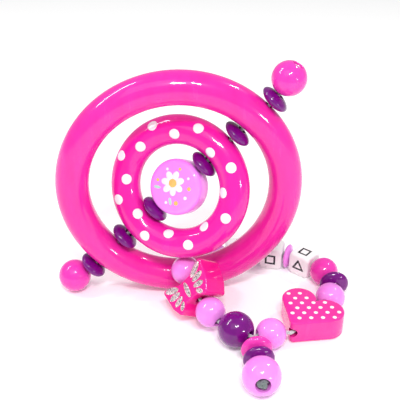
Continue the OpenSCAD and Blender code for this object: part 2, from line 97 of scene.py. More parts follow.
def lacquer(name, deep, light, rough=0.25, coat=0.75):
    s = lacquerSettings
    mat, nodes, links, bsdf = newMaterial(name)
    coord = nodes.new("ShaderNodeTexCoord")
    stretch = nodes.new("ShaderNodeMapping")
    stretch.inputs["Scale"].default_value = (1.0, 1.0, s["grainLong"])  # grain runs upwards
    grain = nodes.new("ShaderNodeTexNoise")
    grain.inputs["Scale"].default_value = s["grain"]
    grain.inputs["Detail"].default_value = s["grainDetail"]
    cloud = nodes.new("ShaderNodeTexNoise")
    cloud.inputs["Scale"].default_value = s["cloud"]
    both = nodes.new("ShaderNodeMix")
    both.data_type = "FLOAT"
    both.inputs[0].default_value = s["cloudShare"]
    ramp = nodes.new("ShaderNodeValToRGB")
    ramp.color_ramp.elements[0].position = s["rampFrom"]
    ramp.color_ramp.elements[0].color = (*deep, 1)
    ramp.color_ramp.elements[1].position = s["rampTo"]
    ramp.color_ramp.elements[1].color = (*light, 1)
    roughness = nodes.new("ShaderNodeMapRange")
    roughness.inputs["To Min"].default_value = rough * s["roughLow"]
    roughness.inputs["To Max"].default_value = rough * s["roughHigh"]
    bump = nodes.new("ShaderNodeBump")
    bump.inputs["Strength"].default_value = s["bump"]
    bump.inputs["Distance"].default_value = s["bumpDeep"]
    links.new(coord.outputs["Object"], stretch.inputs["Vector"])
    links.new(stretch.outputs["Vector"], grain.inputs["Vector"])
    links.new(coord.outputs["Object"], cloud.inputs["Vector"])
    links.new(grain.outputs["Fac"], both.inputs[2])
    links.new(cloud.outputs["Fac"], both.inputs[3])
    links.new(both.outputs[0], ramp.inputs["Fac"])
    links.new(ramp.outputs["Color"], bsdf.inputs["Base Color"])
    links.new(grain.outputs["Fac"], roughness.inputs["Value"])
    links.new(roughness.outputs["Result"], bsdf.inputs["Roughness"])
    links.new(grain.outputs["Fac"], bump.inputs["Height"])
    links.new(bump.outputs["Normal"], bsdf.inputs["Normal"])
    bsdf.inputs["Coat Weight"].default_value = coat
    bsdf.inputs["Coat Roughness"].default_value = s["coatRough"]
    bsdf.inputs["Specular IOR Level"].default_value = s["underGloss"]  # most of the gloss is the clear coat's
    return mat


glitterSettings = {"flakes": 3200.0, "bump": 0.8, "bumpDeep": 0.0001, "rough": (0.15, 0.5), "metal": 0.55,
                   "shades": [(0.0, (0.05, 0.045, 0.05)), (0.3, (0.42, 0.37, 0.42)), (0.5, (0.80, 0.68, 0.50)),
                              (0.62, (0.58, 0.76, 0.68)), (0.75, (0.92, 0.60, 0.78)), (1.0, (1.0, 0.98, 1.0))]}


def glitter(name):
    s = glitterSettings
    mat, nodes, links, bsdf = newMaterial(name)
    coord = nodes.new("ShaderNodeTexCoord")
    flakes = nodes.new("ShaderNodeTexVoronoi")
    flakes.inputs["Scale"].default_value = s["flakes"]
    tone = nodes.new("ShaderNodeValToRGB")
    tone.color_ramp.elements[0].color = (*s["shades"][0][1], 1)
    tone.color_ramp.elements[1].color = (*s["shades"][-1][1], 1)
    for at, shade in s["shades"][1:-1]:
        tone.color_ramp.elements.new(at).color = (*shade, 1)
    split = nodes.new("ShaderNodeSeparateColor")
    bump = nodes.new("ShaderNodeBump")
    bump.inputs["Strength"].default_value = s["bump"]
    bump.inputs["Distance"].default_value = s["bumpDeep"]
    rough = nodes.new("ShaderNodeMapRange")
    rough.inputs["To Min"].default_value, rough.inputs["To Max"].default_value = s["rough"]
    links.new(coord.outputs["Object"], flakes.inputs["Vector"])
    links.new(flakes.outputs["Color"], split.inputs["Color"])
    links.new(split.outputs["Red"], tone.inputs["Fac"])
    links.new(tone.outputs["Color"], bsdf.inputs["Base Color"])
    links.new(split.outputs["Green"], rough.inputs["Value"])
    links.new(rough.outputs["Result"], bsdf.inputs["Roughness"])
    links.new(split.outputs["Blue"], bump.inputs["Height"])
    links.new(bump.outputs["Normal"], bsdf.inputs["Normal"])
    bsdf.inputs["Metallic"].default_value = s["metal"]
    return mat


braidSettings = {"lean": 38.0, "wander": 0.6, "bump": 0.7, "bumpDeep": 0.0002, "rough": 0.45, "sheen": 0.4}


def braid(name, deep, light, pitch):
    s = braidSettings
    mat, nodes, links, bsdf = newMaterial(name)
    uv = nodes.new("ShaderNodeUVMap")
    uv.uv_map = "cordUv"
    heights = []
    for lean in (1, -1):
        turn = nodes.new("ShaderNodeMapping")
        turn.inputs["Rotation"].default_value = (0, 0, math.radians(s["lean"] * lean))
        turn.inputs["Scale"].default_value = (pitch, pitch, 1)
        wave = nodes.new("ShaderNodeTexWave")
        wave.wave_profile = "SIN"
        wave.inputs["Scale"].default_value = 1.0
        wave.inputs["Distortion"].default_value = s["wander"]
        links.new(uv.outputs["UV"], turn.inputs["Vector"])
        links.new(turn.outputs["Vector"], wave.inputs["Vector"])
        heights.append(wave)
    weave = nodes.new("ShaderNodeMath")
    weave.operation = "MAXIMUM"
    # colour follows the strand height: the grooves between the strands get the first colour as painted shade, the
    # strand tops the second
    ramp = nodes.new("ShaderNodeValToRGB")
    ramp.color_ramp.elements[0].color = (*deep, 1)
    ramp.color_ramp.elements[1].color = (*light, 1)
    bump = nodes.new("ShaderNodeBump")
    bump.inputs["Strength"].default_value = s["bump"]
    bump.inputs["Distance"].default_value = s["bumpDeep"]
    for wave, socket in zip(heights, weave.inputs):
        links.new(wave.outputs["Fac"], socket)
    links.new(weave.outputs["Value"], ramp.inputs["Fac"])
    links.new(ramp.outputs["Color"], bsdf.inputs["Base Color"])
    links.new(weave.outputs["Value"], bump.inputs["Height"])
    links.new(bump.outputs["Normal"], bsdf.inputs["Normal"])
    bsdf.inputs["Roughness"].default_value = s["rough"]
    bsdf.inputs["Sheen Weight"].default_value = s["sheen"]
    return mat


paint = {
    "ring_pink": lacquer("ringPink", (0.79, 0.014, 0.31), (0.87, 0.024, 0.38)),
    "dotted_pink": lacquer("dottedPink", (0.79, 0.009, 0.32), (0.87, 0.015, 0.39)),
    "butterfly_pink": lacquer("butterflyPink", (0.84, 0.006, 0.24), (0.93, 0.012, 0.30)),
    "heart_pink": lacquer("heartPink", (0.80, 0.024, 0.30), (0.88, 0.038, 0.36)),
    "hot_pink": lacquer("hotPink", (0.79, 0.030, 0.39), (0.87, 0.048, 0.46)),
    "light_pink": lacquer("lightPink", (0.80, 0.22, 0.75), (0.88, 0.28, 0.83)),
    "purple": lacquer("purpleLacquer", (0.12, 0.0004, 0.15), (0.19, 0.001, 0.21)),
    "disc_pink": lacquer("discPink", (0.92, 0.24, 0.94), (0.97, 0.29, 0.98)),
    "cube_white": lacquer("cubeWhite", (0.84, 0.84, 0.83), (0.93, 0.93, 0.92), rough=0.35, coat=0.4),
    # each cord's first colour is painted shade in the grooves between its strands
    "cord_white": braid("cordWhite", (0.42, 0.42, 0.45), (0.86, 0.86, 0.88), 9.0),
    "knot_grey": braid("knotGrey", (0.03, 0.045, 0.045), (0.26, 0.33, 0.32), 5.0),
}
dotWhite = lacquer("dotWhite", (0.86, 0.82, 0.86), (0.95, 0.93, 0.95))
petalWhite = lacquer("petalWhite", (0.88, 0.83, 0.88), (0.96, 0.93, 0.96))
flowerYellow = lacquer("flowerYellow", (0.84, 0.45, 0.10), (0.95, 0.62, 0.20))
leafMint = lacquer("leafMint", (0.40, 0.68, 0.55), (0.55, 0.80, 0.68))
markGrey = lacquer("markGrey", (0.015, 0.015, 0.02), (0.04, 0.04, 0.05), coat=0.3)
wingSilver = glitter("wingSilver")
print("lacquers and cord ready")


# mesh helpers
def sweep(start, end, steps):
    return [start + (end - start) * k / steps for k in range(steps + 1)]


def shellPiece(name, bm, node, matrix, material=None, standsFor=True):
    mesh = bpy.data.meshes.new(name)
    bmesh.ops.recalc_face_normals(bm, faces=bm.faces)
    # turned in the mesh, so that its box lies square to the frame
    bmesh.ops.transform(bm, matrix=matrix.to_3x3().to_4x4(), verts=bm.verts)
    for face in bm.faces:
        face.smooth = True
    bm.to_mesh(mesh)
    bm.free()
    obj = bpy.data.objects.new(name, mesh)
    bpy.context.scene.collection.objects.link(obj)
    obj.matrix_world = Matrix.Translation(matrix.translation)
    mesh.materials.append(material or paint[slotOf[node]])
    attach(obj, bodyOf[node])
    if standsFor:
        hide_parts(node)
    return obj


def spinProfile(profile, steps=96):
    bm = bmesh.new()
    rings = []
    for k in range(steps):
        a = fullTurn * k / steps
        rings.append([bm.verts.new((r * math.cos(a), r * math.sin(a), z)) for r, z in profile])
    for k in range(steps):
        here, after = rings[k], rings[(k + 1) % steps]
        for i in range(len(profile)):
            j = (i + 1) % len(profile)
            bm.faces.new((here[i], after[i], after[j], here[j]))
    return bm


def softRim(r, e, z, up=1, steps=6):  # rounded edge from the outside into a hole of radius r
    return [(r + e - e * math.sin(s), z - up * (e - e * math.cos(s))) for s in sweep(0.0, math.pi / 2, steps)]


def beadProfile(radius, hole, rim, mouth=None, depth=0.0, slope=0.3 * mm, steps=48):
    low = math.acos((hole + rim) / radius)
    top = (mouth or hole) + rim
    high = math.acos(top / radius)
    profile = [(radius * math.cos(t), radius * math.sin(t)) for t in sweep(-low, high, steps)]
    profile += softRim(mouth or hole, rim, radius * math.sin(high))[1:]
    if mouth:
        profile += [(mouth, radius - depth), (hole, radius - depth - slope)]
    profile += softRim(hole, rim, -radius * math.sin(low), -1)[:0:-1]
    return profile


def lensProfile(width, thick, hole, rim, steps=40):
    a = math.acos((hole + rim) / (width / 2))
    profile = [(width / 2 * math.cos(t), thick / 2 * math.sin(t)) for t in sweep(-a, a, steps)]
    edge = thick / 2 * math.sin(a)
    return profile + softRim(hole, rim, edge)[1:] + softRim(hole, rim, -edge, -1)[:0:-1]


def drilled(obj, matrix, radius, length, sides=48, crease=35.0):
    bm = bmesh.new()
    bmesh.ops.create_cone(bm, cap_ends=True, segments=sides, radius1=radius, radius2=radius, depth=length)
    mesh = bpy.data.meshes.new("drill")
    bm.to_mesh(mesh)
    bm.free()
    tool = bpy.data.objects.new("drill", mesh)
    bpy.context.scene.collection.objects.link(tool)
    tool.matrix_world = matrix
    cut = obj.modifiers.new("hole", "BOOLEAN")
    cut.operation = "DIFFERENCE"
    cut.object = tool
    cut.solver = "EXACT"
    bpy.context.view_layer.update()
    shaped = bpy.data.meshes.new_from_object(obj.evaluated_get(bpy.context.evaluated_depsgraph_get()))
    obj.modifiers.clear()
    obj.data = shaped
    bpy.data.objects.remove(tool)
    obj.data.set_sharp_from_angle(angle=math.radians(crease))


def torusMesh(ringR, barR, around, across):
    bm = bmesh.new()
    rows = []
    for i in range(around):
        a = fullTurn * i / around
        row = []
        for k in range(across):
            b = fullTurn * k / across
            r = ringR + barR * math.cos(b)
            row.append(bm.verts.new((r * math.cos(a), barR * math.sin(b), r * math.sin(a))))
        rows.append(row)
    for i in range(around):
        here, after = rows[i], rows[(i + 1) % around]
        for k in range(across):
            n = (k + 1) % across
            bm.faces.new((here[k], after[k], after[n], here[n]))
    return bm


def inset(outline, e):  # each point moved inwards along its own normal
    moved = []
    for i, (x, y) in enumerate(outline):
        px, py = outline[i - 1]
        nx, ny = outline[(i + 1) % len(outline)]
        t = Vector((nx - px, ny - py)).normalized()
        moved.append((x - t.y * e, y + t.x * e))
    return moved


def stackMesh(bm, outline, layers):  # closed solid through copies of one outline, each set inwards and raised
    rings = [[bm.verts.new((x, y, z)) for x, y in inset(outline, e)] for e, z in layers]
    n = len(outline)
    for low, high in zip(rings, rings[1:]):
        for i in range(n):
            j = (i + 1) % n
            bm.faces.new((low[i], low[j], high[j], high[i]))
    bm.faces.new(list(reversed(rings[0])))
    bm.faces.new(rings[-1])


def slabMesh(outline, thick, edge, steps=6):  # outline runs anticlockwise, slab from 0 to thick
    bm = bmesh.new()
    levels = [(edge * (1 - math.sin(s)), edge * (1 - math.cos(s))) for s in sweep(0.0, math.pi / 2, steps)]
    stackMesh(bm, outline, levels + [(e, thick - z) for e, z in reversed(levels)])
    return bm


def padMesh(bm, outline, base, thick, sunk=0.1 * mm, soft=0.08 * mm):  # paint seated in a flat face
    stackMesh(bm, outline, [(0.0, base - sunk), (0.0, base + thick / 2), (min(thick, soft), base + thick)])


def ellipse(cx, cy, a, b, lean=0.0, steps=28):
    c, s = math.cos(lean), math.sin(lean)
    out = []
    for k in range(steps):
        t = fullTurn * k / steps
        x, y = a * math.cos(t), b * math.sin(t)
        out.append((cx + c * x - s * y, cy + s * x + c * y))
    return out


def smoothRoute(points, perSpan=8):  # a smooth curve through all the points
    out = []
    pts = [points[0] * 2 - points[1]] + list(points) + [points[-1] * 2 - points[-2]]
    for a, b, c, d in zip(pts, pts[1:], pts[2:], pts[3:]):
        for k in range(perSpan):
            t = k / perSpan
            out.append(0.5 * (2 * b + (c - a) * t + (2 * a - 5 * b + 4 * c - d) * t * t
                              + (3 * b - a - 3 * c + d) * t ** 3))
    return out + [points[-1]]


def evenRoute(points, rounds, step=1.0 * mm):  # the same curve in even steps, with its corners eased
    fine = smoothRoute(points)
    runs = [0.0]
    for a, b in zip(fine, fine[1:]):
        runs.append(runs[-1] + (b - a).length)
    count = max(8, round(runs[-1] / step))
    even, i = [], 0
    for k in range(count + 1):
        want = runs[-1] * k / count
        while i < len(fine) - 2 and runs[i + 1] < want:
            i += 1
        even.append(fine[i].lerp(fine[i + 1], (want - runs[i]) / max(runs[i + 1] - runs[i], 1e-9)))
    for _ in range(rounds):
        even = even[:1] + [(a + 2 * b + c) / 4 for a, b, c in zip(even, even[1:], even[2:])] + even[-1:]
    return even


def cordMesh(bm, route, radius, sides=14):
    uv = bm.loops.layers.uv.get("cordUv") or bm.loops.layers.uv.new("cordUv")
    rings, run = [], 0.0
    side = None
    for i, p in enumerate(route):
        t = (route[min(i + 1, len(route) - 1)] - route[max(i - 1, 0)]).normalized()
        side = (Vector((0, 0, 1)).cross(t) if side is None else side - t * side.dot(t)).normalized()
        up = t.cross(side)
        if i:
            run += (p - route[i - 1]).length / mm
        rings.append((run, [bm.verts.new(p + radius * (math.cos(a) * side + math.sin(a) * up))
                            for a in [fullTurn * k / sides for k in range(sides)]]))
    girth = fullTurn * radius / mm
    for (u0, low), (u1, high) in zip(rings, rings[1:]):
        for k in range(sides):
            n = (k + 1) % sides
            face = bm.faces.new((low[k], low[n], high[n], high[k]))
            for loop, (u, v) in zip(face.loops, ((u0, k), (u0, k + 1), (u1, k + 1), (u1, k))):
                loop[uv].uv = (u, v / sides * girth)
    bm.faces.new(list(reversed(rings[0][1])))
    bm.faces.new(rings[-1][1])


# the two rings
ringSettings = {"outerBar": 13.4, "outerOd": 98.5, "innerBar": 12.0, "innerR": 23.05, "innerTurn": -28.0,
                "bore": 3.4, "outerSteps": (240, 72), "innerSteps": (200, 64)}


def makeRings():
    s = ringSettings
    outerR = (s["outerOd"] - s["outerBar"]) / 2 * mm
    drillAt = slopeMatrix(0)
    outerBar = torusMesh(outerR, s["outerBar"] / 2 * mm, *s["outerSteps"])
    outer = shellPiece("outerRing", outerBar, "outer_ring", Matrix.Translation(ringCentre))
    drilled(outer, drillAt, s["bore"] / 2 * mm, 3 * outerR)
    innerBar = torusMesh(s["innerR"] * mm, s["innerBar"] / 2 * mm, *s["innerSteps"])
    inner = shellPiece("innerRing", innerBar, "inner_ring", slopeMatrix(s["innerTurn"]))
    drilled(inner, drillAt, s["bore"] / 2 * mm, 3 * outerR)


dotSettings = {"perRow": 8, "radius": 2.1, "lift": 0.035, "sunk": 0.12, "firstTurn": 20.0, "sway": 17.0,
               "drift": 5.5, "rings": 4, "sides": 32,
               "rows": [(-121, 0.5), (-74, 0.0), (74, 0.0), (121, 0.5)]}


def barSpot(turn, barAngle, height):
    r = ringSettings["innerR"] * mm + height * math.cos(barAngle)
    return (r * math.cos(turn), height * math.sin(barAngle), r * math.sin(turn))


def dotOnBar(bm, turn, barAngle):
    s = dotSettings
    barR = ringSettings["innerBar"] / 2 * mm
    near = ringSettings["innerR"] * mm + barR * math.cos(barAngle)
    sides = s["sides"]
    rims = []
    # the painted face and the face sunk in the wood
    for height in (barR + s["lift"] * mm, barR - s["sunk"] * mm):
        centre = bm.verts.new(barSpot(turn, barAngle, height))
        before = None
        for ring in range(1, s["rings"] + 1):
            rho = s["radius"] * mm * ring / s["rings"]
            row = []
            for i in range(sides):
                t = fullTurn * i / sides
                spot = barSpot(turn + rho * math.cos(t) / near, barAngle + rho * math.sin(t) / barR, height)
                row.append(bm.verts.new(spot))
            for i in range(sides):
                j = (i + 1) % sides
                if before is None:
                    bm.faces.new((centre, row[i], row[j]))
                else:
                    bm.faces.new((before[i], row[i], row[j], before[j]))
            before = row
        rims.append(before)
    for i in range(sides):
        j = (i + 1) % sides
        bm.faces.new((rims[0][i], rims[1][i], rims[1][j], rims[0][j]))


def makeRingDots():
    s = dotSettings
    bm = bmesh.new()
    for barAngle, shift in s["rows"]:
        side = math.copysign(1, barAngle)
        for k in range(s["perRow"]):
            turn = 360 * (k + shift) / s["perRow"] + s["firstTurn"]
            # hand-painted rows wander a little
            turn += s["drift"] * math.sin(math.radians(turn - s["firstTurn"] / 2))
            sway = s["sway"] * math.cos(math.radians(turn - ringSettings["innerTurn"]))
            dotOnBar(bm, math.radians(turn), math.radians(barAngle + side * sway))
    shellPiece("ringDots", bm, "inner_ring", slopeMatrix(ringSettings["innerTurn"]), dotWhite, standsFor=False)


# the disc with a printed flower
discSettings = {"across": 22.5, "thick": 10.0, "edge": 2.2, "turn": -38.0, "bore": 3.4, "print": 0.04,
                "flat": 6.0, "core": 0.02, "sides": 128, "arcSteps": 10,
                "petals": 7, "petalLong": 1.85, "petalWide": 1.35, "petalOut": 3.2, "eye": 1.7, "eyeCoats": 1.5,
                "flowerAt": (-1.4, 0.6), "lean": 12.0, "leafLong": 1.5, "leafWide": 0.6,
                "yellowDots": [(4.9, 4.6, 0.8), (-6.6, -3.6, 0.65), (5.6, -3.4, 0.9), (-3.6, 6.6, 0.6)],
                "whiteDots": [(6.6, 1.0, 0.7), (2.6, -6.6, 0.6), (1.6, 7.0, 0.55), (-7.2, 2.4, 0.55)],
                "leaves": [(3.4, -4.9, -0.5), (-4.6, -5.6, 0.7)]}


def makeDisc():
    s = discSettings
    r, h, e = s["across"] / 2, s["thick"] / 2, s["edge"]
    turns = sweep(0.0, math.pi / 2, s["arcSteps"])
    side = [(r - e + e * math.cos(a), h - e + e * math.sin(a)) for a in turns]
    side += [(s["flat"], h), (s["core"], h)]
    profile = [(x * mm, y * mm) for x, y in [(x, -y) for x, y in reversed(side)] + side]
    bm = spinProfile(profile, s["sides"])
    lay = Matrix.Rotation(math.pi / 2, 4, "X")
    bmesh.ops.transform(bm, matrix=lay, verts=bm.verts)
    disc = shellPiece("pictureDisc", bm, "picture_disc", slopeMatrix(s["turn"]))
    drilled(disc, slopeMatrix(s["turn"]), s["bore"] / 2 * mm, 3 * r * mm)
    for name, half in (("Front", 0), ("Back", math.pi)):
        face = slopeMatrix(s["turn"]) @ Matrix.Rotation(half, 4, "Z") @ Matrix.Rotation(math.pi / 2, 4, "X")
        printFlower("disc" + name, face)


def printFlower(name, face):
    s = discSettings
    cx, cy = s["flowerAt"]
    top = s["thick"] / 2 * mm
    white, yellow, mint = bmesh.new(), bmesh.new(), bmesh.new()

    def pad(part, x, y, long, wide, lean=0.0, coats=1.0):
        outline = [(u * mm, v * mm) for u, v in ellipse(x, y, long, wide, lean)]
        padMesh(part, outline, top, coats * s["print"] * mm)
    for k in range(s["petals"]):
        a = fullTurn * k / s["petals"] + math.radians(s["lean"])
        x, y = cx + s["petalOut"] * math.cos(a), cy + s["petalOut"] * math.sin(a)
        pad(white, x, y, s["petalLong"], s["petalWide"], a)
    pad(yellow, cx, cy, s["eye"], s["eye"], coats=s["eyeCoats"])
    for x, y, d in s["yellowDots"]:
        pad(yellow, x, y, d, d)
    for x, y, d in s["whiteDots"]:
        pad(white, x, y, d, d)
    for x, y, lean in s["leaves"]:
        pad(mint, x, y, s["leafLong"], s["leafWide"], lean)
    prints = (("Petals", white, petalWhite), ("Eye", yellow, flowerYellow), ("Leaves", mint, leafMint))
    for kind, part, mat in prints:
        shellPiece(name + kind, part, "picture_disc", face, mat, standsFor=False)


# lenses and beads on the cords
lensSettings = {"across": 12.0, "thick": 5.2, "axisHole": 3.4, "loopHole": 4.0, "rim": 0.35,
                "spacerAcross": 10.6, "spacerThick": 3.4}
beadSettings = {"pink": 12.0, "purple": 14.2, "end": 13.5, "tail": 14.5, "loopHole": 4.0, "axisHole": 3.4,
                "rim": 0.4, "endMouth": 4.4, "endDepth": 4.0, "tailMouth": 5.6, "tailDepth": 5.0}


def camel(node):
    first, *rest = node.split("_")
    return first + "".join(w.capitalize() for w in rest)


def makeLens(node, across, thick, hole):
    centre, axis = placeOf(node + "_spin")
    if node.split("_")[0] in ("upper", "lower"):
        centre = boxCentre(node)
    profile = lensProfile(across * mm, thick * mm, hole / 2 * mm, lensSettings["rim"] * mm)
    shellPiece(camel(node), spinProfile(profile), node, threadMatrix(centre, axis))


def makeBead(node, across, hole, mouth=None, depth=0.0):
    centre, axis = placeOf(node + "_spin")
    profile = beadProfile(across / 2 * mm, hole / 2 * mm, beadSettings["rim"] * mm,
                          mouth / 2 * mm if mouth else None, depth * mm)
    shellPiece(camel(node), spinProfile(profile), node, threadMatrix(centre, axis))


def makeThreaded():
    s, b = lensSettings, beadSettings
    for end in ("upper", "lower"):
        for place in ("outer", "middle", "inner"):
            makeLens(f"{end}_{place}_lens", s["across"], s["thick"], s["axisHole"])
        makeBead(f"{end}_end_bead", b["end"], b["axisHole"], b["endMouth"], b["endDepth"])
    for node in ("chain_lens", "tail_pink_lens", "tail_purple_lens"):
        makeLens(node, s["across"], s["thick"], s["loopHole"])
    for node in ("cube_spacer_1", "cube_spacer_2"):
        makeLens(node, s["spacerAcross"], s["spacerThick"], s["loopHole"])
    for node in ("ring_bead", "butterfly_end_bead", "heart_tip_bead", "heart_notch_bead", "hot_pink_bead",
                 "back_bead"):
        makeBead(node, b["pink"], b["loopHole"])
    makeBead("purple_bead", b["purple"], b["loopHole"])
    makeBead("tail_bead", b["tail"], b["loopHole"], b["tailMouth"], b["tailDepth"])


# white cubes with plain marks
cubeSettings = {"edge": 10.0, "ball": 15.0, "bevel": 0.9, "hole": 4.0, "cuts": 20, "mark": 0.03, "stroke": 0.85,
                "plusArm": 2.4, "corner": 2.7}


def markOutlines(kind):  # each stroke is a bar from one corner to the next
    w, arm, out = cubeSettings["stroke"] / 2, cubeSettings["plusArm"], cubeSettings["corner"]
    if kind == "plus":
        return [[(0, -arm), (0, arm)], [(-arm, 0), (-w, 0)], [(w, 0), (arm, 0)]]
    corners, start = (3, math.pi / 2) if kind == "triangle" else (4, math.pi / 4)
    turns = [start + fullTurn * k / corners for k in range(corners)]
    spots = [(out * math.cos(a), out * math.sin(a)) for a in turns]
    return [[spots[k], spots[(k + 1) % corners]] for k in range(corners)]


def makeCube(node, kinds):
    s = cubeSettings
    centre, axis = placeOf(node + "_spin")
    half, bevel, ball = s["edge"] / 2 * mm, s["bevel"] * mm, s["ball"] / 2 * mm
    bm = bmesh.new()
    bmesh.ops.create_cube(bm, size=2 * half)
    bmesh.ops.subdivide_edges(bm, edges=bm.edges, cuts=s["cuts"], use_grid_fill=True)
    for v in bm.verts:
        core = Vector([max(-half + bevel, min(half - bevel, c)) for c in v.co])
        out = v.co - core
        if out.length > 0:
            v.co = core + out.normalized() * bevel
        if v.co.length > ball:
            v.co = v.co.normalized() * ball
    where = threadMatrix(centre, axis)
    cube = shellPiece(camel(node), bm, node, where)
    drilled(cube, where, s["hole"] / 2 * mm, 3 * half)
    marks = bmesh.new()
    for side, kind in enumerate(kinds):
        part = bmesh.new()
        for (x0, y0), (x1, y1) in markOutlines(kind):
            along = Vector((x1 - x0, y1 - y0)).normalized() * s["stroke"] / 2
            closed = kind != "plus"  # bars of a closed mark meet end to side
            x0, x1 = x0 - along.x * closed, x1 - along.x * closed
            y0, y1 = y0 - along.y * closed, y1 - along.y * closed
            bar = [(x0 + along.y, y0 - along.x), (x1 + along.y, y1 - along.x), (x1 - along.y, y1 + along.x),
                   (x0 - along.y, y0 + along.x)]
            padMesh(part, [(x * mm, y * mm) for x, y in bar], half, s["mark"] * mm)
        turn = Matrix.Rotation(math.pi / 2 * side, 4, "Z") @ Matrix.Rotation(math.pi / 2, 4, "Y")
        bmesh.ops.transform(part, matrix=turn, verts=part.verts)
        mesh = bpy.data.meshes.new("mark")
        part.to_mesh(mesh)
        part.free()
        marks.from_mesh(mesh)
        bpy.data.meshes.remove(mesh)
    shellPiece(camel(node) + "Marks", marks, node, where, markGrey, standsFor=False)


def makeCubes():
    makeCube("cube_1", ("plus", "triangle", "square", "triangle"))
    makeCube("cube_2", ("triangle", "square", "plus", "square"))
    makeCube("cube_3", ("square", "plus", "triangle", "plus"))


# the heart
heartSettings = {"wide": 26.6, "long": 22.4, "thick": 9.6, "lobe": 6.9, "tip": 1.6, "edge": 0.8, "hole": 4.0,
                 "dot": 0.82, "dotStep": 4.6, "dotRow": 3.15, "dotLift": 0.035, "dotMiddle": 0.55,
                 "dotRows": 7, "dotCols": 6, "dotSides": 20, "tipSteps": 10, "lobeSteps": 60}


def heartLines():  # a lobe's centre aside and ahead of the tip, and the lean of the straight flank
    s = heartSettings
    side, ahead = s["wide"] / 2 - s["lobe"], s["long"] - s["lobe"]
    run = ahead - s["tip"]
    return side, ahead, math.atan2(side, run) + math.asin((s["lobe"] - s["tip"]) / math.hypot(run, side))


def heartOutline():
    s = heartSettings
    side, ahead, lean = heartLines()
    notch = ahead + math.sqrt(s["lobe"] ** 2 - side ** 2)
    normal = lean + math.pi / 2
    inward = math.atan2(-side, notch - ahead)
    half = [(s["tip"] + s["tip"] * math.cos(a), s["tip"] * math.sin(a))
            for a in sweep(math.pi, normal, s["tipSteps"])]
    half += [(ahead + s["lobe"] * math.cos(a), side + s["lobe"] * math.sin(a))
             for a in sweep(normal, inward, s["lobeSteps"])]
    outline = half + [(x, -y) for x, y in half[-2:0:-1]]
    return [(x * mm, y * mm) for x, y in reversed(outline)]


def dotFits(x, y, outline):  # the whole dot lies on the flat of the face
    s = heartSettings
    side, ahead, lean = heartLines()
    inLobe = math.hypot(x - ahead, abs(y) - side) < s["lobe"]
    inPoint = 0 < x < ahead and abs(y) < x * math.tan(lean)
    clear = min(math.hypot(x - a, y - b) for a, b in outline)
    return (inLobe or inPoint) and clear > s["dot"] + s["edge"]


def makeHeart():
    s = heartSettings
    tip, axis = placeOf("heart_bead_spin")
    heading = math.atan2(axis.y, axis.x)
    where = Matrix.Translation((tip.x, tip.y, 0)) @ Matrix.Rotation(heading, 4, "Z")
    slab = slabMesh(heartOutline(), s["thick"] * mm, s["edge"] * mm)
    heart = shellPiece("heartBead", slab, "heart_bead", where)
    middle = Matrix.Translation((s["long"] / 2 * mm, 0, s["thick"] / 2 * mm))
    bore = where @ middle @ Matrix.Rotation(math.pi / 2, 4, "Y")
    drilled(heart, bore, s["hole"] / 2 * mm, 3 * s["long"] * mm)
    dots = bmesh.new()
    outline = [(x / mm, y / mm) for x, y in heartOutline()]
    for row in range(-s["dotRows"], s["dotRows"] + 1):  # staggered rows, square to the way the toy faces
        for col in range(-s["dotCols"], s["dotCols"] + 1):
            u, v = (col + 0.5 * (row % 2)) * s["dotStep"], row * s["dotRow"]
            x = s["long"] * s["dotMiddle"] + u * math.cos(heading) + v * math.sin(heading)
            y = v * math.cos(heading) - u * math.sin(heading)
            if dotFits(x, y, outline):
                rim = ellipse(x, y, s["dot"], s["dot"], steps=s["dotSides"])
                spot = [(a * mm, b * mm) for a, b in rim]
                padMesh(dots, spot, s["thick"] * mm, s["dotLift"] * mm)
    shellPiece("heartDots", dots, "heart_bead", where, dotWhite, standsFor=False)


# the butterfly
butterflySettings = {"thick": 11.0, "body": 8.8, "reach": 12.2, "fore": 8.0, "hind": 7.2, "round": 1.3,
                     "turn": 146.0, "edge": 0.6, "hole": 4.0, "silver": 0.09, "shoulder": 1.3,
                     "sideOut": 0.86, "hindOut": 0.66, "heelOut": 0.42, "heelUp": 1.08,
                     "cells": [(0, 0.1, 1.2, 3.6, 0.0), (7.3, -4.6, 3.7, 1.4, -0.45),
                               (7.0, -1.4, 3.1, 1.3, -0.08), (6.1, 1.6, 2.7, 1.2, 0.25),
                               (5.3, 4.4, 1.9, 1.0, 0.8)]}


def roundCorner(a, b, c, r, steps=7):
    a, b, c = Vector(a), Vector(b), Vector(c)
    u, v = (a - b).normalized(), (c - b).normalized()
    half = math.acos(max(-1, min(1, u.dot(v)))) / 2
    centre = b + (u + v).normalized() * (r / math.sin(half))
    start, end = [(b + way * (r / math.tan(half)) - centre) / r for way in (u, v)]
    bend = math.pi - 2 * half
    out = []
    for t in sweep(0.0, 1.0, steps):
        p = centre + r * (math.sin((1 - t) * bend) * start + math.sin(t * bend) * end) / math.sin(bend)
        out.append((p.x, p.y))
    return out


def wingOutline():
    s = butterflySettings
    w, b, f, h = s["reach"], s["body"] / 2, s["fore"], s["hind"]
    half = [(0, -b), (w / 4, -b), (w / 2, -b - s["shoulder"]), (w, -f), (w * s["sideOut"], h / 3),
            (w * s["hindOut"], h), (w * s["heelOut"], h - s["heelUp"]), (w / 4, b), (0, b)]
    right = []
    for before, corner, after in zip(half, half[1:], half[2:]):
        right += roundCorner(before, corner, after, s["round"])
    return [(x * mm, y * mm) for x, y in right + [(-x, y) for x, y in reversed(right)]]


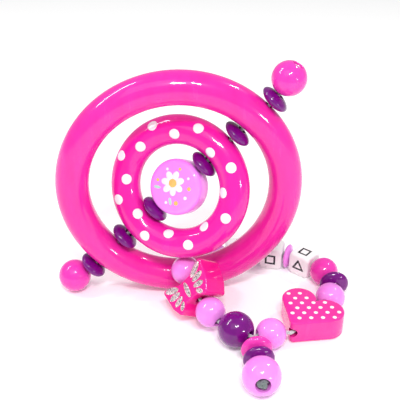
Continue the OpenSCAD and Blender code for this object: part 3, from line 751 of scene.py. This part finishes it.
def makeButterfly():
    s = butterflySettings
    centre, axis = placeOf("butterfly_bead_spin")
    where = threadMatrix(centre, axis, s["turn"])
    flat = where @ Matrix.Rotation(math.pi / 2, 4, "X") @ Matrix.Translation((0, 0, -s["thick"] / 2 * mm))
    slab = slabMesh(wingOutline(), s["thick"] * mm, s["edge"] * mm)
    wings = shellPiece("butterflyBead", slab, "butterfly_bead", flat)
    drilled(wings, where, s["hole"] / 2 * mm, 4 * s["body"] * mm)
    silver = bmesh.new()
    for x, y, long, wide, lean in s["cells"]:
        for side in (1, -1) if x else (1,):
            outline = ellipse(side * x, -y, long, wide, -side * lean)
            padMesh(silver, [(u * mm, v * mm) for u, v in outline], 0, s["silver"] * mm)
    face = where @ Matrix.Translation((0, s["thick"] / 2 * mm, 0)) @ Matrix.Rotation(-math.pi / 2, 4, "X")
    shellPiece("butterflyCells", silver, "butterfly_bead", face, wingSilver, standsFor=False)


# cords and knots
cordSettings = {"across": 1.5, "strand": 0.66, "overBar": 0.3, "barFlat": 1.5, "slackSteps": 5, "slackOut": 0.4,
                "bead": 6.2, "cube": 5.2, "butterfly": 5.0, "purple": 7.5, "heartShort": 1.0,
                "frontLong": 0.038, "backLong": 0.139}
# each knot's width and the width of its cord, then the shares of its turns
knotSettings = {"end": (3.6, 1.3), "tail": (4.8, 1.7), "junction": (2.8, 1.1), "edge": 1.8,
                "wide": 0.62, "deep": 0.38, "tall": 1.6, "steps": 120, "sides": 12}


def through(node, half):
    p, a = placeOf(node + "_spin")
    return [p - a * half * mm, p + a * half * mm]


def cordPiece(name, node, routes, rounds=6):
    bm = bmesh.new()
    smooth = [evenRoute(route, rounds) for route in routes]
    for route in smooth:
        cordMesh(bm, route, cordSettings["across"] / 2 * mm)
    return shellPiece(name, bm, node, Matrix.Identity(4)), smooth[0]


def linkPoints(node, half, after, afterHalf):  # where the cord leaves one piece and enters the next
    here, there = placeOf(node + "_spin")[0], placeOf(after + "_spin")[0]
    way = Vector((there.x - here.x, there.y - here.y, 0)).normalized()
    ends = [(here + way * half * mm, half), (there - way * afterHalf * mm, afterHalf)]
    return [p for p, reach in ends if reach]


def slackArc(low, high, bar):  # round the back of the ring's bar, from the last bead up to the top
    def roundBar(p):
        return Vector((math.hypot(p.y - ringCentre.y, p.z - bar), math.atan2(p.z - bar, p.y - ringCentre.y)))
    steps = cordSettings["slackSteps"]
    arc = []
    for k in range(1, steps):
        t = k / steps
        arm = roundBar(low).lerp(roundBar(high), t)
        arm[0] += cordSettings["slackOut"] * mm * math.sin(math.pi * t)
        run = ((1 - t) + (1 - t) ** 2) / 2
        out, angle = arm
        arc.append(Vector((high.x + run * (low.x - high.x), ringCentre.y + out * math.cos(angle),
                           bar + out * math.sin(angle))))
    return arc


def makeKnot(name, node, axis, kind):
    s = knotSettings
    across, cordAcross = s[kind]
    big, small = (across - cordAcross) / 2 * s["wide"], (across - cordAcross) / 2 * s["deep"]
    turns = []
    for t in sweep(0.0, fullTurn, s["steps"]):
        r, z = big + small * math.cos(3 * t), small * s["tall"] * math.sin(3 * t)
        turns.append(Vector((r * math.cos(2 * t), r * math.sin(2 * t), z)) * mm)
    bm = bmesh.new()
    cordMesh(bm, turns, cordAcross / 2 * mm, s["sides"])
    shellPiece(name, bm, node, threadMatrix(boxCentre(node), axis))


def makeCords():
    s = cordSettings
    axisRoute = [boxCentre(n) for n in ("lower_knot", "lower_outer_lens", "lower_middle_lens")] + [ringCentre]
    axisRoute += [boxCentre(n) for n in ("upper_middle_lens", "upper_outer_lens", "upper_knot")]
    cordPiece("axisCord", "axis_cord", [axisRoute])
    for end in ("upper", "lower"):
        makeKnot(end + "Knot", end + "_knot", placeOf(end + "_end_bead_spin")[1], "end")
    # over the ring's bar
    ringIn, ringOut = through("ring_bead", s["bead"])
    backEnd = Vector((ringIn.x, 2 * ringCentre.y - ringIn.y, ringIn.z))
    bar = ringSettings["outerBar"] / 2 * mm
    top = 2 * bar + (s["overBar"] + s["across"] / 2) * mm
    over = [Vector((ringIn.x, ringCentre.y + y * mm, top)) for y in (-s["barFlat"], s["barFlat"])]
    cordPiece("crossCord", "cross_cord", [[ringOut, ringIn] + over + [backEnd]], rounds=1)
    # the front of the loop, down to the junction
    knot = boxCentre("junction_knot")
    front = [ringOut] + through("butterfly_bead", s["butterfly"])
    front += through("butterfly_end_bead", s["bead"]) + through("purple_bead", s["purple"])
    front.append(knot + (front[-1] - knot).normalized() * knotSettings["edge"] * mm)
    frontCord, frontPath = cordPiece("frontCord", "front_cord", [front])
    # the back of the loop, from behind the bar round to the junction
    tip, axis = placeOf("heart_bead_spin")
    heartOut = tip + axis * (heartSettings["long"] - s["heartShort"]) * mm
    tipBead = through("heart_tip_bead", s["bead"])
    notchIn = placeOf("heart_notch_bead_spin")[0] - axis * s["bead"] * mm
    back = [knot + (tipBead[0] - knot).normalized() * knotSettings["edge"] * mm]
    back += tipBead + [tip, heartOut, notchIn]
    bead, cube = s["bead"], s["cube"]
    chain = [("heart_notch_bead", 0, bead), ("chain_lens", 0, 0), ("hot_pink_bead", bead, bead),
             ("cube_1", 0, cube), ("cube_spacer_1", 0, 0), ("cube_2", cube, cube),
             ("cube_spacer_2", 0, 0), ("cube_3", cube, cube), ("back_bead", 0, 0)]
    for (node, _, half), (after, afterHalf, _) in zip(chain, chain[1:]):
        back += linkPoints(node, half, after, afterHalf)
    backBead, lean = placeOf("back_bead_spin")
    came = (backBead - placeOf("cube_3_spin")[0]) * Vector((1, 1, 0))
    leave = (2 * lean * lean.dot(came) - came).normalized()
    back.append(backBead + leave * s["bead"] * mm)
    back += slackArc(back[-1], backEnd, bar) + [backEnd]
    backCord, backPath = cordPiece("backCord", "back_cord", [back[::-1]])
    # the tail's two strands
    pink, purple = placeOf("tail_pink_lens_spin"), placeOf("tail_purple_lens_spin")
    makeKnot("junctionKnot", "junction_knot", pink[1], "junction")
    side = Vector((0, 0, 1)).cross(purple[1]).normalized() * s["strand"] * mm
    middle = [knot + pink[1] * knotSettings["edge"] * mm, pink[0], purple[0]]
    middle += [placeOf("tail_bead_spin")[0], boxCentre("tail_knot")]
    cordPiece("tailCord", "tail_cord", [[p + side for p in middle], [p - side for p in middle]])
    makeKnot("tailKnot", "tail_knot", placeOf("tail_bead_spin")[1], "tail")


makeRings()
makeRingDots()
makeDisc()
print("rings and disc made")
makeThreaded()
makeCubes()
print("lenses, beads and cubes made")
makeHeart()
makeButterfly()
print("heart and butterfly made")
makeCords()
print("cords and knots made")


# floor, light and camera
# each lamp has its direction, length, width and power
stageSettings = {"floor": 6.0, "floorSink": 0.0002, "floorTone": 0.95, "floorRough": 0.8, "glow": 0.12,
                 "cameraAt": (0.34, -278.5, 207.1), "cameraAlong": (0.0247, 0.8612, -0.5077),
                 "lens": 72.0, "sensor": 36.0, "nearest": 0.01, "world": 0.42, "aimHeight": 0.03,
                 "soft": 1.1, "softFrom": (-0.3, -0.5, 0.8), "softSize": 0.6,
                 "lampFar": 0.7, "lampAlong": (0.85, 0.1, -0.5),
                 "lamps": [((-0.66, 0.10, 0.74), 0.42, 0.045, 1.9), ((0.00, -0.60, 0.80), 0.10, 0.08, 1.6),
                           ((0.19, -0.54, 0.82), 0.07, 0.08, 1.1), ((0.70, -0.68, 0.24), 0.08, 0.07, 0.7),
                           ((0.58, 0.29, 0.76), 0.08, 0.06, 0.9)]}


def makeFloor():
    s = stageSettings
    bm = bmesh.new()
    bmesh.ops.create_grid(bm, x_segments=8, y_segments=8, size=s["floor"] / 2)
    mesh = bpy.data.meshes.new("floor")
    bm.to_mesh(mesh)
    bm.free()
    floor = bpy.data.objects.new("floor", mesh)
    bpy.context.scene.collection.objects.link(floor)
    floor.location.z = -s["floorSink"]
    mat, *_, bsdf = newMaterial("floorWhite")
    bsdf.inputs["Base Color"].default_value = (s["floorTone"], s["floorTone"], s["floorTone"], 1)
    bsdf.inputs["Roughness"].default_value = s["floorRough"]
    bsdf.inputs["Emission Color"].default_value = (1, 1, 1, 1)
    bsdf.inputs["Emission Strength"].default_value = s["glow"]  # lit from below like a light table
    mesh.materials.append(mat)


def areaLight(name, place, long, wide, power, aim, along=(1, 0, 0)):
    data = bpy.data.lights.new(name, "AREA")
    data.shape = "RECTANGLE"
    data.size, data.size_y = long, wide
    data.energy = power
    lamp = bpy.data.objects.new(name, data)
    bpy.context.scene.collection.objects.link(lamp)
    back = (Vector(place) - Vector(aim)).normalized()
    side = (Vector(along) - back * back.dot(Vector(along))).normalized()
    turn = Matrix((side, back.cross(side), back)).transposed()
    lamp.matrix_world = Matrix.Translation(place) @ turn.to_4x4()


def makeLights():
    s = stageSettings
    aim = Vector((ringCentre.x, ringCentre.y, s["aimHeight"]))
    areaLight("softLight", aim + Vector(s["softFrom"]), s["softSize"], s["softSize"], s["soft"], aim)
    for k, (way, long, wide, power) in enumerate(s["lamps"]):  # they leave the glints on the lacquer
        areaLight(f"lamp{k}", aim + Vector(way) * s["lampFar"], long, wide, power, aim, s["lampAlong"])
    world = bpy.data.worlds.new("studio")
    bpy.context.scene.world = world
    world.use_nodes = True
    sky = world.node_tree.nodes["Background"]
    sky.inputs["Color"].default_value = (1, 1, 1, 1)
    sky.inputs["Strength"].default_value = s["world"]
    bpy.context.scene.view_settings.view_transform = "Standard"  # keeps the strong pinks


def makeCamera():
    s = stageSettings
    data = bpy.data.cameras.new("camera")
    data.lens = s["lens"]
    data.sensor_width = s["sensor"]
    data.clip_start = s["nearest"]
    camera = bpy.data.objects.new("camera", data)
    bpy.context.scene.collection.objects.link(camera)
    base = Vector((ringCentre.x, ringCentre.y, 0))
    camera.location = base + Vector(s["cameraAt"]) * mm
    camera.rotation_euler = Vector(s["cameraAlong"]).to_track_quat("-Z", "Y").to_euler()
    bpy.context.scene.camera = camera


makeFloor()
makeLights()
makeCamera()
print("floor, light and camera made")
